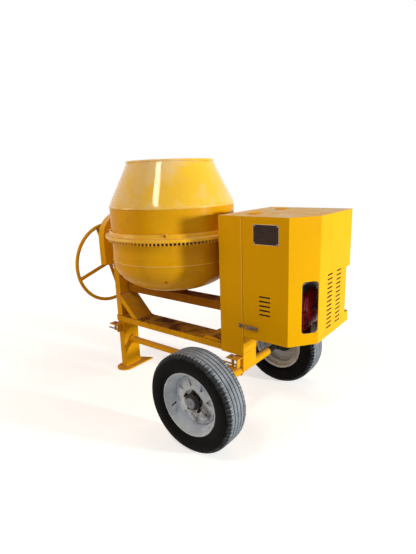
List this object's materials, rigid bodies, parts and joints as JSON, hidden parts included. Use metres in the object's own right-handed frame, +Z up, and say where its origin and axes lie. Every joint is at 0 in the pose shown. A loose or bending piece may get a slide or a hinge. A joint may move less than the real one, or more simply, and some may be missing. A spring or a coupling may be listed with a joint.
{
  "type": "concrete mixer",
  "caption": "Towable concrete mixer with a tilting drum on a yoke, a ring-gear drive from a hooded engine, a tilting handwheel and two road wheels",
  "frame": {"origin": "on the ground under the middle of the machine's box", "axes": "+X from the handwheel to the engine hood (the machine's width), -Y is the front (towing side), +Z is up"},
  "size_m": [1.761, 1.168, 1.602],
  "materials": {
    "base_sill": "glossy golden-yellow enamel over sheet steel, worn and dusty, with dried cement low down",
    "left_post": "glossy golden-yellow enamel over sheet steel, worn and dusty, with dried cement low down",
    "left_leg": "glossy golden-yellow enamel over sheet steel, worn and dusty, with dried cement low down",
    "left_foot_plate": "glossy golden-yellow enamel over sheet steel, worn and dusty, with dried cement low down",
    "right_post": "glossy golden-yellow enamel over sheet steel, worn and dusty, with dried cement low down",
    "right_leg": "glossy golden-yellow enamel over sheet steel, worn and dusty, with dried cement low down",
    "left_brace": "glossy golden-yellow enamel over sheet steel, worn and dusty, with dried cement low down",
    "sill_pad": "glossy golden-yellow enamel over sheet steel, worn and dusty, with dried cement low down",
    "tie_tube": "glossy golden-yellow enamel over sheet steel, worn and dusty, with dried cement low down",
    "axle_beam": "glossy golden-yellow enamel over sheet steel, worn and dusty, with dried cement low down",
    "drive_casing": "glossy golden-yellow enamel over sheet steel, worn and dusty, with dried cement low down",
    "hood_hinge": "bare or zinc plated steel",
    "engine_tray": "glossy golden-yellow enamel over sheet steel, worn and dusty, with dried cement low down",
    "engine_block": "red engine enamel",
    "reduction_gearbox": "die-cast aluminium, bare",
    "flywheel_shroud": "black satin paint",
    "fuel_tank": "red engine enamel",
    "muffler": "black satin paint",
    "air_filter": "black satin paint",
    "drive_belt": "black V-belt rubber",
    "left_bearing": "glossy golden-yellow enamel over sheet steel, worn and dusty, with dried cement low down",
    "right_bearing": "glossy golden-yellow enamel over sheet steel, worn and dusty, with dried cement low down",
    "gear_guard": "glossy golden-yellow enamel over sheet steel, worn and dusty, with dried cement low down",
    "handwheel_bush": "bare or zinc plated steel",
    "left_clamp_bracket": "glossy golden-yellow enamel over sheet steel, worn and dusty, with dried cement low down",
    "right_clamp_bracket": "glossy golden-yellow enamel over sheet steel, worn and dusty, with dried cement low down",
    "latch_keeper": "bare or zinc plated steel",
    "yoke_left_arm": "glossy golden-yellow enamel over sheet steel, worn and dusty, with dried cement low down",
    "yoke_right_arm": "glossy golden-yellow enamel over sheet steel, worn and dusty, with dried cement low down",
    "yoke_beam": "glossy golden-yellow enamel over sheet steel, worn and dusty, with dried cement low down",
    "left_trunnion": "bare or zinc plated steel",
    "right_trunnion": "bare or zinc plated steel",
    "tilt_gear": "cast, painted or oiled black",
    "drum_spindle": "bare or zinc plated steel",
    "drum_bowl": "glossy golden-yellow enamel over sheet steel, worn and dusty, with dried cement low down",
    "drum_cone": "glossy golden-yellow enamel over sheet steel, worn and dusty, with dried cement low down",
    "mouth_rim": "glossy golden-yellow enamel over sheet steel, worn and dusty, with dried cement low down",
    "ring_gear": "glossy golden-yellow enamel over sheet steel, worn and dusty, with dried cement low down",
    "drum_hub": "cast, painted or oiled black",
    "mixing_blade_1": "glossy golden-yellow enamel over sheet steel, worn and dusty, with dried cement low down",
    "mixing_blade_2": "glossy golden-yellow enamel over sheet steel, worn and dusty, with dried cement low down",
    "pinion_shaft": "bare or zinc plated steel",
    "drive_pinion": "cast, painted or oiled black",
    "driven_pulley": "cast, painted or oiled black",
    "engine_pulley": "cast, painted or oiled black",
    "handwheel": "glossy golden-yellow enamel over sheet steel, worn and dusty, with dried cement low down",
    "handwheel_shaft": "bare or zinc plated steel",
    "tilt_pinion": "cast, painted or oiled black",
    "near_tyre": "black moulded tyre, dusty on the tread",
    "near_rim": "silver paint",
    "near_hub": "cast, painted or oiled black",
    "far_tyre": "black moulded tyre, dusty on the tread",
    "far_rim": "silver paint",
    "far_hub": "cast, painted or oiled black",
    "hood": "glossy golden-yellow enamel over sheet steel, worn and dusty, with dried cement low down",
    "latch_lever": "bare or zinc plated steel",
    "recoil_handle": "black moulded plastic",
    "fuel_cap": "black moulded plastic",
    "left_clamp_screw": "glossy golden-yellow enamel over sheet steel, worn and dusty, with dried cement low down",
    "right_clamp_screw": "glossy golden-yellow enamel over sheet steel, worn and dusty, with dried cement low down"
  },
  "bodies": {
    "frame": {"base_sill": "base_sill", "left_post": "left_post", "left_leg": "left_leg", "left_foot_plate": "left_foot_plate", "right_post": "right_post", "right_leg": "right_leg", "left_brace": "left_brace", "sill_pad": "sill_pad", "tie_tube": "tie_tube", "axle_beam": "axle_beam", "drive_casing": "drive_casing", "hood_hinge": "hood_hinge", "engine_tray": "engine_tray", "engine_block": "engine_block", "reduction_gearbox": "reduction_gearbox", "flywheel_shroud": "flywheel_shroud", "fuel_tank": "fuel_tank", "muffler": "muffler", "air_filter": "air_filter", "drive_belt": "drive_belt", "left_bearing": "left_bearing", "right_bearing": "right_bearing", "gear_guard": "gear_guard", "handwheel_bush": "handwheel_bush", "left_clamp_bracket": "left_clamp_bracket", "right_clamp_bracket": "right_clamp_bracket", "latch_keeper": "latch_keeper"},
    "yoke": {"yoke_left_arm": "yoke_left_arm", "yoke_right_arm": "yoke_right_arm", "yoke_beam": "yoke_beam", "left_trunnion": "left_trunnion", "right_trunnion": "right_trunnion", "tilt_gear": "tilt_gear", "drum_spindle": "drum_spindle"},
    "drum": {"drum_bowl": "drum_bowl", "drum_cone": "drum_cone", "mouth_rim": "mouth_rim", "ring_gear": "ring_gear", "drum_hub": "drum_hub", "mixing_blade_1": "mixing_blade_1", "mixing_blade_2": "mixing_blade_2"},
    "pinion": {"pinion_shaft": "pinion_shaft", "drive_pinion": "drive_pinion", "driven_pulley": "driven_pulley"},
    "crank": {"engine_pulley": "engine_pulley"},
    "handwheel": {"handwheel": "handwheel", "handwheel_shaft": "handwheel_shaft", "tilt_pinion": "tilt_pinion"},
    "near_wheel": {"near_tyre": "near_tyre", "near_rim": "near_rim", "near_hub": "near_hub"},
    "far_wheel": {"far_tyre": "far_tyre", "far_rim": "far_rim", "far_hub": "far_hub"},
    "hood": {"hood": "hood"},
    "latch": {"latch_lever": "latch_lever"},
    "recoil": {"recoil_handle": "recoil_handle"},
    "cap": {"fuel_cap": "fuel_cap"},
    "left_clamp": {"left_clamp_screw": "left_clamp_screw"},
    "right_clamp": {"right_clamp_screw": "right_clamp_screw"}
  },
  "joints": [
    {"name": "yoke_tilt", "type": "hinge", "parent": "frame", "child": "yoke", "pos_m": [-0.1875, 0.042, 1.06], "axis": [1, 0, 0], "range_deg": [-45, 120]},
    {"name": "drum_spin", "type": "hinge", "parent": "yoke", "child": "drum", "pos_m": [-0.1875, 0.042, 1.06], "axis": [0, 0, 1], "continuous": true},
    {"name": "pinion_spin", "type": "hinge", "parent": "yoke", "child": "pinion", "pos_m": [-0.1875, 0.042, 1.06], "axis": [1, 0, 0], "continuous": true},
    {"name": "engine_pulley_spin", "type": "hinge", "parent": "frame", "child": "crank", "pos_m": [0.3925, 0.2, 0.715], "axis": [1, 0, 0], "continuous": true},
    {"name": "handwheel_spin", "type": "hinge", "parent": "frame", "child": "handwheel", "pos_m": [-0.8675, 0, 0.84914], "axis": [1, 0, 0], "range_deg": [-420, 160]},
    {"name": "near_wheel_spin", "type": "hinge", "parent": "frame", "child": "near_wheel", "pos_m": [0.4205, -0.4955, 0.2875], "axis": [0, 1, 0], "continuous": true},
    {"name": "far_wheel_spin", "type": "hinge", "parent": "frame", "child": "far_wheel", "pos_m": [0.4205, 0.4955, 0.2875], "axis": [0, 1, 0], "continuous": true},
    {"name": "hood_lift", "type": "hinge", "parent": "frame", "child": "hood", "pos_m": [0.4655, 0.226, 1.2703], "axis": [0, -1, 0], "range_deg": [0, 80]},
    {"name": "latch_swing", "type": "hinge", "parent": "hood", "child": "latch", "pos_m": [0.5655, -0.0943, 0.602], "axis": [0, 0, 1], "range_deg": [0, 120]},
    {"name": "recoil_pull", "type": "slide", "parent": "frame", "child": "recoil", "axis": [0, 1, 0], "range_m": [0, 0.45]},
    {"name": "fuel_cap_turn", "type": "hinge", "parent": "frame", "child": "cap", "pos_m": [0.6005, 0.2, 1.1069], "axis": [0, 0, 1], "range_deg": [0, 90]},
    {"name": "left_clamp_turn", "type": "hinge", "parent": "frame", "child": "left_clamp", "pos_m": [-0.732, -0.1053, 0.389], "axis": [0, 0, 1], "range_deg": [-45, 140]},
    {"name": "right_clamp_turn", "type": "hinge", "parent": "frame", "child": "right_clamp", "pos_m": [0.396, -0.1053, 0.389], "axis": [0, 0, 1], "range_deg": [-45, 140]}
  ],
  "couplings": [
    {"joint": "pinion_spin", "follows": "drum_spin", "ratio": -9.3333},
    {"joint": "engine_pulley_spin", "follows": "drum_spin", "ratio": -19.719},
    {"joint": "handwheel_spin", "follows": "yoke_tilt", "ratio": -3.4286}
  ]
}
